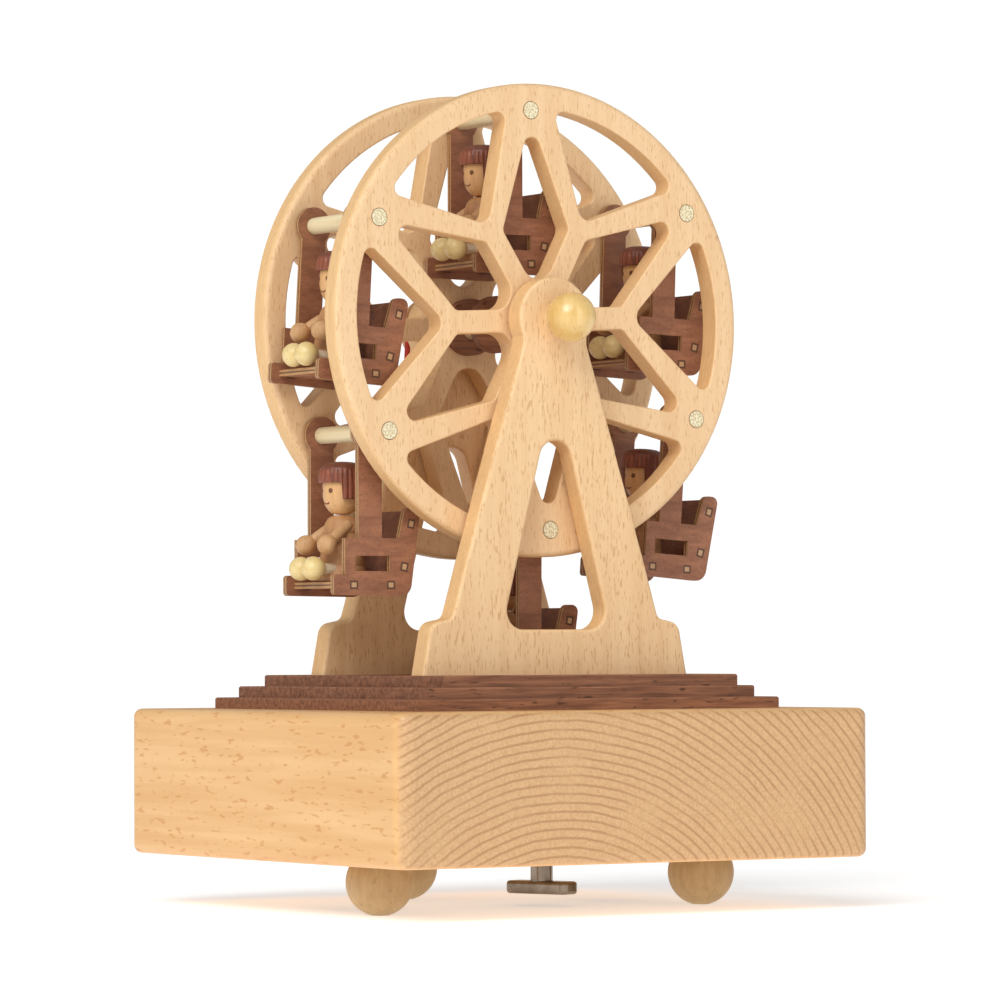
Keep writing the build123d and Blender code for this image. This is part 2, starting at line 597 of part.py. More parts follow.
# the rider: turned body on the floor, arms forward, legs out over the front edge
DX = -0.7
with BuildPart() as doll_body:
    with BuildSketch(Plane(origin=(DX, MID_Y, 0), x_dir=(1, 0, 0), z_dir=(0, -1, 0))):
        with BuildLine():
            Polyline((0, -19.2), (1.7, -19.2))
            ThreePointArc((1.7, -19.2), (3.5, -20.2), (4.3, -22.0))
            Line((4.3, -22.0), (6.1, -35.08))
            Polyline((6.1, -35.08), (0, -35.08), (0, -19.2))
        make_face()
    revolve(axis=Axis((DX, MID_Y, 0), (0, 0, 1)), revolution_arc=360)
    for s in (-1, 1):
        # arm from the shoulder to the hand
        a = Vector(DX - 0.6, MID_Y + s * 2.0, -22.4)
        b = Vector(-7.7, MID_Y + s * 5.0, -26.3)
        with BuildSketch(Plane(origin=a, z_dir=b - a)):
            Circle(1.35)
        extrude(amount=(b - a).length)
        with Locations((b.X, b.Y, b.Z)):
            Sphere(2.4)
        # leg and shoe
        c = Vector(DX - 2.0, MID_Y + s * 2.6, -31.9)
        d = Vector(-10.2, MID_Y + s * 2.95, -31.9)
        with BuildSketch(Plane(origin=c, z_dir=d - c)):
            Circle(1.3)
        extrude(amount=(d - c).length)
        with Locations((d.X, d.Y, d.Z)):
            Sphere(2.85)

with BuildPart() as doll_head:
    # face: a rounded barrel on the neck
    with BuildSketch(Plane(origin=(DX, MID_Y, 0), x_dir=(1, 0, 0), z_dir=(0, -1, 0))):
        with BuildLine():
            Polyline((0, -18.75), (0, -19.2), (1.2, -19.2), (1.2, -18.7))
            ThreePointArc((1.2, -18.7), (3.7, -17.0), (4.55, -14.0))
            Polyline((4.55, -14.0), (4.55, -11.0), (0, -11.0), (0, -18.75))
        make_face()
    revolve(axis=Axis((DX, MID_Y, 0), (0, 0, 1)), revolution_arc=360)
    # hair: a cap all round
    with BuildSketch(Plane(origin=(DX, MID_Y, 0), x_dir=(1, 0, 0), z_dir=(0, -1, 0))):
        with BuildLine():
            Polyline((0, -11.6), (0, -6.6), (2.6, -6.6))
            ThreePointArc((2.6, -6.6), (4.9, -7.4), (5.6, -9.2))
            Polyline((5.6, -9.2), (5.6, -11.6), (0, -11.6))
        make_face()
    revolve(axis=Axis((DX, MID_Y, 0), (0, 0, 1)), revolution_arc=360)
    # the back hair, longer than the fringe
    with BuildSketch(Plane.XY.offset(-16.2)):
        with Locations((DX, MID_Y)):
            Circle(5.5)
            Circle(4.4, mode=Mode.SUBTRACT)
        with Locations((DX - 10 - 2.75, MID_Y)):
            Rectangle(20, 20, mode=Mode.SUBTRACT)
    extrude(amount=5.0)

pieces = (("side_front", side_pieces[0]), ("side_rear", side_pieces[1]), ("boards", boards.part),
          ("doll_body", doll_body.part), ("doll_head", doll_head.part))
for k, (ang, tilt, dy, sit) in enumerate(GONDOLAS):
    gx, gz = dowel_xz(ang)
    # a positive tilt swings the floor towards -X
    where = Location((gx, dy, gz), (0, tilt, 0))
    for short, solid in pieces:
        nm = "gondola_%d_%s" % (k + 1, short)
        hung = solid.moved(where * Location((sit if short.startswith("doll") else 0.0, 0, 0)))
        hung.label = nm
        export_step(hung, "parts/" + nm + ".step")
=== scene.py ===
import bpy, json, math
from math import radians, sin, cos, pi
from mathutils import Vector, Matrix


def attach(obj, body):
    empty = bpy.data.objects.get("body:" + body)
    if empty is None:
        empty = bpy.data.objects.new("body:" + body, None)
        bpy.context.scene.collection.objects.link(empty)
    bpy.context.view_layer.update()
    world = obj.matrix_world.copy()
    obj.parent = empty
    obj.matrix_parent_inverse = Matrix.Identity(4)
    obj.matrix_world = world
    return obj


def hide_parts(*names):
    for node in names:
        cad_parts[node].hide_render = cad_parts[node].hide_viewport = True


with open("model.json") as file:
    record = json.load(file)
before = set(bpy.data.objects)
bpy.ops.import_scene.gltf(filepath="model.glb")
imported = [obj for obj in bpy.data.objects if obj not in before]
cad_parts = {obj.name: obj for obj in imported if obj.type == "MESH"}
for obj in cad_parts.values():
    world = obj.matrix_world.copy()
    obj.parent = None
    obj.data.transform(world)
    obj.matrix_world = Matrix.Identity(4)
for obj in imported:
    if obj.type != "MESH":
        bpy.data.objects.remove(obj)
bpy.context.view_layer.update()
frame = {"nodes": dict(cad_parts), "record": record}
scene = bpy.context.scene
S = 0.001

# ---------------------------------------------------------------- camera
yaw, pitch, roll = radians(-31.907), radians(1.629), radians(-0.223)
fwd = Vector((-sin(yaw) * cos(pitch), cos(yaw) * cos(pitch), sin(pitch)))
right = Vector((cos(yaw), sin(yaw), 0))
up = right.cross(fwd)
r2 = right * cos(roll) + up * sin(roll)
u2 = -right * sin(roll) + up * cos(roll)
cam = bpy.data.objects.new("camera", bpy.data.cameras.new("camera"))
scene.collection.objects.link(cam)
cam.matrix_world = Matrix(((r2.x, u2.x, -fwd.x, -0.656708), (r2.y, u2.y, -fwd.y, -1.058157),
                           (r2.z, u2.z, -fwd.z, 0.062075), (0, 0, 0, 1)))
cam.data.sensor_width = 36
cam.data.lens = 5168.744 * 36 / 1001
cam.data.clip_start, cam.data.clip_end = 0.05, 60
scene.camera = cam
scene.view_settings.view_transform = "Standard"
scene.view_settings.look = "None"


# ---------------------------------------------------------------- material helpers
def lin(c):
    v = [x / 255 for x in c]
    return tuple([x / 12.92 if x <= 0.04045 else ((x + 0.055) / 1.055) ** 2.4 for x in v] + [1.0])


class Mat:
    def __init__(self, name, rough=0.5, local=None, **kw):
        self.m = bpy.data.materials.new(name)
        self.m.use_nodes = True
        self.t = self.m.node_tree
        self.t.nodes.clear()
        out = self.t.nodes.new("ShaderNodeOutputMaterial")
        self.b = self.t.nodes.new("ShaderNodeBsdfPrincipled")
        self.t.links.new(self.b.outputs[0], out.inputs[0])
        self.b.inputs["Roughness"].default_value = rough
        for k, v in kw.items():
            self.b.inputs[k].default_value = v
        tc = self.t.nodes.new("ShaderNodeTexCoord")
        self.p, self.nrm = tc.outputs["Object"], tc.outputs["Normal"]
        if local is not None:
            inv = local.inverted()
            e = inv.to_euler("XYZ")
            self.p = self.map(self.p, loc=inv.to_translation(), rot=e)
            self.nrm = self.map(self.nrm, rot=e)

    def put(self, sock, v):
        if isinstance(v, bpy.types.NodeSocket):
            self.t.links.new(v, sock)
        elif v is not None:
            sock.default_value = v

    def map(self, v, loc=(0, 0, 0), rot=(0, 0, 0), scale=(1, 1, 1)):
        n = self.t.nodes.new("ShaderNodeMapping")
        self.put(n.inputs["Vector"], v)
        n.inputs["Location"].default_value = loc
        n.inputs["Rotation"].default_value = rot
        n.inputs["Scale"].default_value = scale
        return n.outputs[0]

    def f(self, op, a, b=None, c=None, clamp=False):
        n = self.t.nodes.new("ShaderNodeMath")
        n.operation, n.use_clamp = op, clamp
        for i, v in enumerate((a, b, c)):
            if v is not None:
                self.put(n.inputs[i], v)
        return n.outputs[0]

    def noise(self, v, scale=1.0, detail=4.0, rough=0.6, dist=0.0):
        n = self.t.nodes.new("ShaderNodeTexNoise")
        self.put(n.inputs["Vector"], v)
        n.inputs["Scale"].default_value = scale
        n.inputs["Detail"].default_value = detail
        n.inputs["Roughness"].default_value = rough
        n.inputs["Distortion"].default_value = dist
        return n.outputs["Fac"]

    def wave(self, v, scale, kind="RINGS", axis="Y", dist=1.0, detail=2.0, dscale=1.0):
        n = self.t.nodes.new("ShaderNodeTexWave")
        n.wave_type = kind
        if kind == "RINGS":
            n.rings_direction = axis
        else:
            n.bands_direction = axis
        n.wave_profile = "SIN"
        self.put(n.inputs["Vector"], v)
        n.inputs["Scale"].default_value = scale
        n.inputs["Distortion"].default_value = dist
        n.inputs["Detail"].default_value = detail
        n.inputs["Detail Scale"].default_value = dscale
        return n.outputs["Fac"]

    def step(self, v, lo, hi):
        n = self.t.nodes.new("ShaderNodeMapRange")
        n.interpolation_type = "SMOOTHSTEP"
        self.put(n.inputs["Value"], v)
        n.inputs["From Min"].default_value = lo
        n.inputs["From Max"].default_value = hi
        return n.outputs[0]

    def mix(self, fac, a, b, kind="MIX"):
        n = self.t.nodes.new("ShaderNodeMix")
        n.data_type, n.blend_type = "RGBA", kind
        self.put(n.inputs[0], fac)
        self.put(n.inputs[6], a)
        self.put(n.inputs[7], b)
        return n.outputs[2]

    def xyz(self, v):
        n = self.t.nodes.new("ShaderNodeSeparateXYZ")
        self.put(n.inputs[0], v)
        return n.outputs[0], n.outputs[1], n.outputs[2]

    def colour(self, c):
        self.put(self.b.inputs["Base Color"], c)

    def bump(self, h, strength=0.3, distance=0.0002):
        n = self.t.nodes.new("ShaderNodeBump")
        n.inputs["Strength"].default_value = strength
        n.inputs["Distance"].default_value = distance
        self.put(n.inputs["Height"], h)
        self.put(self.b.inputs["Normal"], n.outputs[0])

    def rough(self, v, lo, hi):
        n = self.t.nodes.new("ShaderNodeMapRange")
        self.put(n.inputs["Value"], v)
        n.inputs["To Min"].default_value = lo
        n.inputs["To Max"].default_value = hi
        self.put(self.b.inputs["Roughness"], n.outputs[0])


def stretch(axis, across, along):
    return tuple(along if a == axis else across for a in "XYZ")


def wood(name, light, dark, fleck, axis="Z", across=330, along=14, fine=2300, wall=None, wall_axis=1,
         flecks=0.5, rough=(0.42, 0.62), bump=0.25, local=None, coat=0.0, contrast=1.0, dense=False, mottle=None):
    m = Mat(name, local=local, **({"Coat Weight": coat, "Coat Roughness": 0.25} if coat else {}))
    broad = m.noise(m.map(m.p, scale=stretch(axis, across, along)), detail=5, rough=0.55, dist=0.35)
    c = m.mix(m.step(broad, 0.5 - 0.28 / contrast, 0.5 + 0.28 / contrast), lin(light), lin(dark))
    fibre = m.noise(m.map(m.p, scale=stretch(axis, fine, fine * 0.035)), detail=3, rough=0.7)
    c = m.mix(m.f("MULTIPLY", m.step(fibre, 0.45, 0.75), 0.45), c, lin(dark))
    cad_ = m.noise(m.map(m.p, loc=(0.013, 0.02, 0.007), scale=stretch(axis, 2300 if dense else 1500, 430 if dense else 300)), detail=1.5, rough=0.5)
    c = m.mix(m.f("MULTIPLY", m.step(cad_, *((0.57, 0.69) if dense else (0.64, 0.72))), flecks), c, lin(fleck))
    if wall:
        n = m.xyz(m.nrm)[wall_axis]
        c = m.mix(m.step(m.f("ABSOLUTE", n), 0.75, 0.35), c, m.mix(m.f("MULTIPLY", m.step(fibre, 0.35, 0.75), 0.45), lin(wall), lin(fleck)))
    if mottle:
        n = m.xyz(m.nrm)[1]
        q = m.noise(m.p, scale=2100, detail=2.5, rough=0.65)
        c = m.mix(m.step(m.f("ABSOLUTE", n), 0.7, 0.9), c, m.mix(m.step(q, 0.42, 0.6), lin(mottle[0]), lin(mottle[1])))
    m.colour(c)
    m.rough(fibre, *rough)
    m.bump(m.f("ADD", fibre, m.f("MULTIPLY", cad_, 0.6)), bump, 0.00015)
    return m.m


# ---------------------------------------------------------------- wood of the base, frames, wheel
M = {}


def base_wood():
    m = Mat("base_block_wood", **{"Coat Weight": 0.12, "Coat Roughness": 0.3})
    nx, ny, nz = m.xyz(m.nrm)
    long_ = m.noise(m.map(m.p, scale=(260, 12, 260)), detail=5, rough=0.55, dist=0.4)
    side = m.mix(m.step(long_, 0.25, 0.78), lin((239, 194, 136)), lin((225, 173, 112)))
    fl = m.noise(m.map(m.p, rot=(0.12, 0, 0), scale=(1050, 250, 1050)), detail=1.5, rough=0.5, dist=0.3)
    side = m.mix(m.f("MULTIPLY", m.step(fl, 0.61, 0.68), 0.6), side, lin((208, 138, 74)))
    # end grain with growth rings about a point below the front edge
    w = m.wave(m.map(m.p, loc=(0.022, 0, 0.030), scale=(1, 0.1, 1)), 152, axis="Y", dist=2.4, detail=3.0, dscale=0.55)
    slow = m.noise(m.map(m.p, scale=(60, 4, 60)), detail=2, rough=0.5)
    speck = m.noise(m.map(m.p, scale=(1900, 300, 1900)), detail=2.5, rough=0.7)
    end = m.mix(m.step(speck, 0.3, 0.75), lin((221, 180, 131)), lin((203, 158, 110)))
    end = m.mix(m.f("MULTIPLY", m.f("MULTIPLY", m.step(w, 0.68, 1.0), 0.66), m.step(slow, 0.15, 0.6)), end, lin((172, 122, 76)))
    e = m.step(m.f("ABSOLUTE", ny), 0.35, 0.8)
    m.colour(m.mix(e, side, end))
    m.rough(fl, 0.38, 0.55)
    m.bump(m.f("ADD", fl, speck), 0.2, 0.00012)
    return m.m


M["base_block"] = base_wood()
M["pale_wood"] = wood("pale_beech", (246, 210, 162), (235, 194, 144), (204, 152, 98), "Z", wall=(240, 198, 142), flecks=0.62, dense=True)
M["wheel_wood"] = wood("wheel_beech", (244, 208, 162), (234, 193, 144), (204, 152, 98), "Z", wall=(238, 196, 140), flecks=0.55, dense=True)
M["dark_wood"] = wood("walnut", (168, 114, 81), (111, 70, 49), (68, 41, 28), "X", across=900, along=60, fine=2600,
                      flecks=0.75, rough=(0.55, 0.8), bump=0.6)
M["dowel_wood"] = wood("dowel_birch", (246, 230, 190), (232, 210, 164), (196, 160, 112), "Y", across=700, along=30, flecks=0.35, mottle=((246, 238, 204), (206, 184, 138)))
M["knob_wood"] = wood("knob_wood", (242, 208, 138), (226, 184, 108), (188, 136, 70), "Z", across=420, along=40, rough=(0.22, 0.34), coat=0.6, flecks=0.4)
M["foot_wood"] = wood("foot_wood", (205, 177, 131), (186, 156, 111), (154, 121, 82), "Z", across=500, along=120, flecks=0.5, bump=0.35)
M["cover_board"] = wood("cover_plywood", (222, 190, 146), (200, 164, 118), (150, 110, 70), "X", flecks=0.4)
M["axle_pulley_wood"] = wood("pulley_wood", (240, 206, 156), (222, 180, 126), (180, 130, 80), "Z", wall=(214, 166, 112))


def metal(name, col, dark, rough=(0.25, 0.45), aniso=1400):
    m = Mat(name, Metallic=1.0)
    a = m.noise(m.p, scale=190, detail=2, rough=0.45)
    b = m.noise(m.map(m.p, scale=(aniso, aniso, 60)), detail=2, rough=0.6)
    m.colour(m.mix(m.step(a, 0.35, 0.72), lin(col), lin(dark)))
    m.rough(b, *rough)
    m.bump(b, 0.12, 0.00008)
    return m.m


M["screw_steel"] = metal("zinc_steel", (186, 186, 184), (140, 140, 140))
M["key_metal"] = metal("antique_nickel", (158, 146, 132), (128, 114, 100), (0.16, 0.28))
M["brass"] = metal("satin_brass", (212, 172, 96), (170, 130, 66))
M["steel"] = metal("satin_steel", (178, 180, 184), (134, 136, 140))
M["movement_metal"] = metal("cast_bedplate", (170, 172, 176), (130, 132, 136), (0.4, 0.65))


def rubber():
    m = Mat("red_rubber", **{"Specular IOR Level": 0.35})
    a = m.noise(m.p, scale=1500, detail=3, rough=0.6)
    m.colour(m.mix(m.step(a, 0.3, 0.75), lin((198, 66, 54)), lin((166, 44, 38))))
    m.rough(a, 0.45, 0.7)
    m.bump(a, 0.2, 0.00008)
    return m.m


M["red_rubber"] = rubber()

# ---------------------------------------------------------------- gondola plates
TURN, AX, RD = 2.91, 139.85, 49.93
TILTS = (0.0, 3.3, 0.0, 0.5, 4.0, 2.0)
ALONG = (0.0, -1.1, 0.0, 0.0, 0.0, 0.0)
SIT = (0.0, 2.0, 0.0, 0.0, 0.0, 1.8)
MID_Y, DX = -0.85, -0.7
LEAN = radians(10.65)
LOCAL = []
for k in range(6):
    a = radians(90 + TURN + 60 * k)
    LOCAL.append(Matrix.Translation(((RD * cos(a)) * S, ALONG[k] * S, (AX + RD * sin(a)) * S)) @ Matrix.Rotation(radians(TILTS[k]), 4, "Y"))
TABS = [(-4.45, -35.85, 0.85, 0.75, 0.0), (5.6, -35.85, 0.85, 0.75, 0.0)]
TABS += [(10.25 + s * sin(LEAN), -26.45 + s * cos(LEAN), 0.75, 0.85, LEAN) for s in (5.1, -5.2)]


def tab_distance(m, x, z):
    d = None
    for (cx, cz, hx, hz, rot) in TABS:
        ax = m.f("SUBTRACT", x, cx * S)
        az = m.f("SUBTRACT", z, cz * S)
        if rot:
            ux = m.f("SUBTRACT", m.f("MULTIPLY", ax, cos(rot)), m.f("MULTIPLY", az, sin(rot)))
            az = m.f("ADD", m.f("MULTIPLY", ax, sin(rot)), m.f("MULTIPLY", az, cos(rot)))
            ax = ux
        q = m.f("MAXIMUM", m.f("SUBTRACT", m.f("ABSOLUTE", ax), hx * S), m.f("SUBTRACT", m.f("ABSOLUTE", az), hz * S))
        d = q if d is None else m.f("MINIMUM", d, q)
    return d


def ply(name, local, what):
    m = Mat(name, local=local)
    x, y, z = m.xyz(m.p)
    nx, ny, nz = m.xyz(m.nrm)
    sp = m.noise(m.p, scale=2600, detail=3, rough=0.7)
    br = m.noise(m.map(m.p, scale=(140, 140, 420)), detail=4, rough=0.6, dist=0.3)
    fib = m.noise(m.map(m.p, scale=(260, 260, 2400)), detail=3, rough=0.65)
    face = m.mix(m.step(br, 0.25, 0.75), lin((172, 115, 82)), lin((135, 86, 61)))
    face = m.mix(m.f("MULTIPLY", m.step(sp, 0.5, 0.72), 0.6), face, lin((104, 66, 50)))
    face = m.mix(m.f("MULTIPLY", m.step(fib, 0.55, 0.75), 0.35), face, lin((184, 134, 98)))
    edge = m.mix(m.step(sp, 0.3, 0.7), lin((208, 164, 112)), lin((170, 122, 80)))
    burnt = lin((74, 46, 34))
    if what == "side":
        # plies along the sawn edge, with the burnt glue line
        ym = m.f("SUBTRACT", m.f("ABSOLUTE", m.f("SUBTRACT", y, MID_Y * S)), (12.05 - 0.8) * S)
        line = m.step(m.f("ABSOLUTE", ym), 0.00030, 0.00012)
        rim = m.step(m.f("ABSOLUTE", ym), 0.00062, 0.00078)
        edge = m.mix(m.f("MAXIMUM", m.f("MULTIPLY", line, 0.75), m.f("MULTIPLY", rim, 0.6)), edge, burnt)
        e = m.step(m.f("ABSOLUTE", ny), 0.8, 0.5)
        d = tab_distance(m, x, z)
        ring = m.f("MULTIPLY", m.step(d, 0.00034, 0.00014), m.step(m.f("ABSOLUTE", ny), 0.5, 0.8))
        face = m.mix(m.f("MULTIPLY", ring, 0.85), face, burnt)
    else:
        # edges of the floor and of the leaning back, then the tab ends
        zf = m.f("ABSOLUTE", m.f("ADD", z, 35.85 * S))
        bx = m.f("ADD", m.f("MULTIPLY", m.f("SUBTRACT", x, 10.25 * S), cos(LEAN)), m.f("MULTIPLY", m.f("ADD", z, 26.45 * S), -sin(LEAN)))
        near_floor = m.step(z, -0.0346, -0.0349)
        q = m.mix(near_floor, bx, zf)
        dist = m.f("ABSOLUTE", q)
        edge = m.mix(m.f("MULTIPLY", m.step(dist, 0.00026, 0.0001), 0.8), edge, burnt)
        ef = m.f("MULTIPLY", near_floor, m.step(m.f("ABSOLUTE", nz), 0.8, 0.5))
        nb = m.f("ADD", m.f("MULTIPLY", nx, cos(LEAN)), m.f("MULTIPLY", nz, -sin(LEAN)))
        eb = m.f("MULTIPLY", m.f("SUBTRACT", 1.0, near_floor), m.step(m.f("ABSOLUTE", nb), 0.8, 0.5))
        e = m.f("MAXIMUM", ef, eb)
        # engraved line across the back board
        s_ = m.f("ADD", m.f("MULTIPLY", m.f("SUBTRACT", x, 10.25 * S), sin(LEAN)), m.f("MULTIPLY", m.f("ADD", z, 26.45 * S), cos(LEAN)))
        line = m.f("MULTIPLY", m.step(m.f("ABSOLUTE", s_), 0.0003, 0.00012), m.f("SUBTRACT", 1.0, near_floor))
        face = m.mix(m.f("MULTIPLY", line, 0.8), face, burnt)
        tab = m.step(m.f("ABSOLUTE", ny), 0.5, 0.8)
        d = tab_distance(m, x, z)
        tabc = m.mix(m.step(d, -0.00026, -0.00008), lin((196, 156, 114)), burnt)
        edge = m.mix(tab, edge, tabc)
        e = m.f("MAXIMUM", e, tab)
    m.colour(m.mix(e, face, edge))
    m.rough(sp, 0.4, 0.62)
    m.bump(m.f("ADD", sp, m.f("ADD", fib, br)), 0.55, 0.00016)
    return m.m


# ---------------------------------------------------------------- give the CAD nodes their materials
slot_of = {s["node"]: s["material_slot"] for s in frame["record"]["subparts"]}
for name, obj in frame["nodes"].items():
    if name.startswith("gondola_") and name[8].isdigit():
        k = int(name[8]) - 1
        if name.endswith(("side_front", "side_rear")):
            mat = M.setdefault("side%d" % k, None) or ply("gondola_side_ply_%d" % (k + 1), LOCAL[k], "side")
            M["side%d" % k] = mat
        elif name.endswith("boards"):
            mat = ply("gondola_board_ply_%d" % (k + 1), LOCAL[k], "boards")
        else:
            mat = None
    elif name in ("axle_pulley", "drive_pulley"):
        mat = M["axle_pulley_wood"]
    else:
        mat = M[slot_of[name]]
    if mat is not None:
        if not obj.material_slots:
            obj.data.materials.append(mat)
        for sl in obj.material_slots:
            sl.material = mat


# ---------------------------------------------------------------- mesh helpers (mm in, metres out)
def mesh_object(name, verts, faces, mat, matrix=None, smooth=True):
    me = bpy.data.meshes.new(name)
    me.from_pydata([(x * S, y * S, z * S) for x, y, z in verts], [], faces)
    me.validate()
    me.update()
    for p in me.polygons:
        p.use_smooth = smooth
    me.materials.append(mat)
    ob = bpy.data.objects.new(name, me)
    scene.collection.objects.link(ob)
    if matrix is not None:
        ob.matrix_world = matrix
    return ob


def lathe(prof, p0=(DX, MID_Y, 0), axis=(0, 0, 1), n=72, mod=None):
    # prof: (radius, distance along the axis from p0); poles close where radius is 0
    p0, w = Vector(p0), Vector(axis).normalized()
    u = w.orthogonal().normalized() if abs(w.z) < 0.99 else Vector((1, 0, 0))
    v = w.cross(u)
    verts, faces, rows = [], [], []
    for (r, h) in prof:
        if r <= 1e-6:
            rows.append([len(verts)])
            verts.append(tuple(p0 + w * h))
        else:
            row = []
            for i in range(n):
                t = 2 * pi * i / n
                rr, hh = mod(r, h, t) if mod else (r, h)
                row.append(len(verts))
                verts.append(tuple(p0 + w * hh + (u * cos(t) + v * sin(t)) * rr))
            rows.append(row)
    for a, b in zip(rows, rows[1:]):
        for i in range(n):
            j = (i + 1) % n
            if len(a) == 1 and len(b) == 1:
                continue
            if len(a) == 1:
                faces.append((a[0], b[i], b[j]))
            elif len(b) == 1:
                faces.append((a[i], b[0], a[j]))
            else:
                faces.append((a[i], b[i], b[j], a[j]))
    return verts, faces


def join(*parts):
    verts, faces = [], []
    for v, f in parts:
        o = len(verts)
        verts += v
        faces += [tuple(i + o for i in q) for q in f]
    return verts, faces


def arc(pts, n=6):
    # smooth profile through the given points (Catmull-Rom)
    out = []
    q = [pts[0]] + list(pts) + [pts[-1]]
    for a, b, c, d in zip(q, q[1:], q[2:], q[3:]):
        for i in range(n):
            t = i / n
            out.append(tuple(0.5 * (2 * b[k] + (c[k] - a[k]) * t + (2 * a[k] - 5 * b[k] + 4 * c[k] - d[k]) * t * t
                                    + (3 * b[k] - a[k] - 3 * c[k] + d[k]) * t ** 3) for k in (0, 1)))
    out.append(tuple(pts[-1]))
    return [(max(0.0, r), h) for r, h in out]


# ---------------------------------------------------------------- the riders
skin = wood("rider_skin", (232, 184, 126), (212, 160, 104), (170, 112, 66), "Z", across=500, along=60, flecks=0.35, rough=(0.35, 0.5), coat=0.15)
torso_m = wood("rider_torso", (206, 156, 106), (176, 124, 80), (120, 76, 46), "Z", across=600, along=50, flecks=0.5, rough=(0.45, 0.6))
arm_m = wood("rider_arm", (214, 170, 122), (192, 146, 98), (140, 96, 60), "Z", across=600, along=200, flecks=0.4)
leg_m = wood("rider_leg", (240, 222, 190), (222, 198, 160), (180, 146, 108), "X", across=700, along=60, flecks=0.35)
shoe_m = wood("rider_shoe", (242, 220, 160), (224, 196, 130), (180, 144, 84), "X", across=520, along=90, flecks=0.4, rough=(0.35, 0.5), coat=0.15)


def hair_material():
    m = Mat("rider_hair", **{"Coat Weight": 0.15, "Coat Roughness": 0.3})
    x, y, z = m.xyz(m.p)
    st = m.noise(m.map(m.p, scale=(1600, 1600, 160)), detail=3, rough=0.6)
    c = m.mix(m.step(st, 0.3, 0.72), lin((150, 82, 54)), lin((104, 52, 36)))
    c = m.mix(m.f("MULTIPLY", m.step(z, -0.0088, -0.0078), 0.6), c, lin((98, 52, 38)))
    m.colour(c)
    m.rough(st, 0.35, 0.55)
    m.bump(st, 0.3, 0.00012)
    return m.m


def dot_material(name, a, b, rough):
    m = Mat(name)
    q = m.noise(m.p, scale=4000, detail=2, rough=0.5)
    m.colour(m.mix(m.step(q, 0.3, 0.7), lin(a), lin(b)))
    m.rough(q, *rough)
    return m.m


hair_m = hair_material()
eye_m = dot_material("rider_eye", (132, 84, 50), (98, 58, 34), (0.4, 0.55))
mouth_m = dot_material("rider_mouth", (150, 84, 52), (120, 62, 38), (0.45, 0.6))

HEAD = arc([(0, -19.1), (1.6, -19.05), (2.95, -18.35), (3.95, -16.9), (4.45, -15.0), (4.55, -13.2), (4.5, -11.6), (4.3, -10.6)])


def head_r(z):
    for (r0, z0), (r1, z1) in zip(HEAD, HEAD[1:]):
        if z0 <= z <= z1:
            return r0 + (r1 - r0) * (z - z0) / max(1e-6, z1 - z0)
    return 4.5


def facing(t):
    # angle away from -X, 0 to pi
    return abs((t - pi + pi) % (2 * pi) - pi)


def hair_mesh():
    n = 224
    prof = arc([(0, -6.6), (1.6, -6.62), (3.2, -6.85), (4.5, -7.45), (5.2, -8.3), (5.5, -9.2)], 5)
    verts, faces = lathe([], n=n)
    rows = []

    def groove(t, z):
        d = min(1.0, max(0.0, (-8.1 - z) / 0.9))
        return 0.2 * d * (0.5 + 0.5 * cos(28 * t)) ** 2

    def add(f):
        row = []
        for i in range(n):
            t = 2 * pi * i / n
            r, z = f(t)
            row.append(len(verts))
            verts.append((DX + r * cos(t), MID_Y + r * sin(t), z))
        rows.append(row)

    top = [len(verts)]
    verts.append((DX, MID_Y, -6.6))
    rows.append(top)
    for (r, z) in prof[1:]:
        add(lambda t, r=r, z=z: (r - groove(t, z) * (r / 5.5), z))

    def low(t):
        a = abs(math.degrees(facing(t)))
        s = min(1.0, max(0.0, (a - 59) / 4))
        s = s * s * (3 - 2 * s)
        return -11.6 - 4.0 * s

    for i in range(1, 9):
        add(lambda t, i=i: (5.56 - groove(t, -10) + 0.04 * sin(pi * i / 8), -9.2 + (low(t) + 0.25 + 9.2) * i / 8))
    add(lambda t: (5.42 - groove(t, -10), low(t) + 0.05))
    add(lambda t: (5.2, low(t)))
    add(lambda t: (max(4.5, head_r(low(t))) - 0.03, low(t) + 0.02))
    add(lambda t: (4.4, -10.9))
    for a, b in zip(rows, rows[1:]):
        for i in range(n):
            j = (i + 1) % n
            if len(a) == 1:
                faces.append((a[0], b[i], b[j]))
            else:
                faces.append((a[i], b[i], b[j], a[j]))
    return verts, faces


# the angle in lathe() and hair_mesh() is measured from +X; a rider faces -X
_facing = facing


def facing(t):
    return abs(((t - pi) + pi) % (2 * pi) - pi)


def tube_path(pts, r, n=10):
    verts, faces, rows = [], [], []
    for i, p in enumerate(pts):
        p = Vector(p)
        d = (Vector(pts[min(i + 1, len(pts) - 1)]) - Vector(pts[max(i - 1, 0)])).normalized()
        u = d.cross(Vector((0, 0, 1))).normalized()
        v = d.cross(u)
        rr = r * (0.45 if i in (0, len(pts) - 1) else 1)
        rows.append([len(verts) + q for q in range(n)])
        verts += [tuple(p + (u * cos(2 * pi * q / n) + v * sin(2 * pi * q / n)) * rr) for q in range(n)]
    for a, b in zip(rows, rows[1:]):
        for i in range(n):
            faces.append((a[i], a[(i + 1) % n], b[(i + 1) % n], b[i]))
    faces.append(tuple(rows[0]))
    faces.append(tuple(reversed(rows[-1])))
    return verts, faces


def eyes_mesh():
    out = []
    for s in (-1, 1):
        a = pi + s * radians(24)
        z = -13.5
        r = head_r(z)
        d = Vector((cos(a), sin(a), 0))
        c = Vector((DX, MID_Y, z)) + d * (r - 0.1)
        out.append(lathe(arc([(0.62, 0.0), (0.56, 0.13), (0.35, 0.24), (0.0, 0.29)], 4), c, d, n=24))
    return join(*out)


